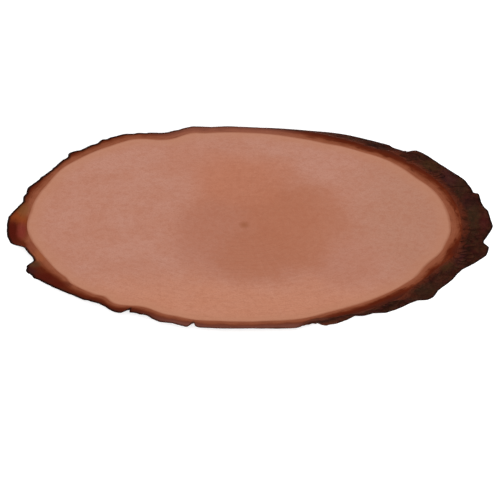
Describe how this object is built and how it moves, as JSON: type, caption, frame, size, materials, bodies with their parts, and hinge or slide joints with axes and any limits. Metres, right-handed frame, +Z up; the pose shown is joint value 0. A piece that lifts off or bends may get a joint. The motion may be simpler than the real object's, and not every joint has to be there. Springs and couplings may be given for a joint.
{
  "type": "wood slice",
  "caption": "Oval slice sawn aslant and flat from a small trunk, with the rough bark left on round the rim, for decoration, craft or serving.",
  "frame": {"origin": "centre of the bounding box on the underside", "axes": "+X along the oval's long axis, towards the end where the bark slopes out below the top face; +Y across the oval; +Z up out of the top face"},
  "size_m": [0.2996, 0.1242, 0.01],
  "materials": {
    "wood": "sawn and sanded smooth, unfinished",
    "bark": "rough, dry, natural bark"
  },
  "bodies": {
    "root": {"wood_slice": "wood"}
  },
  "joints": []
}
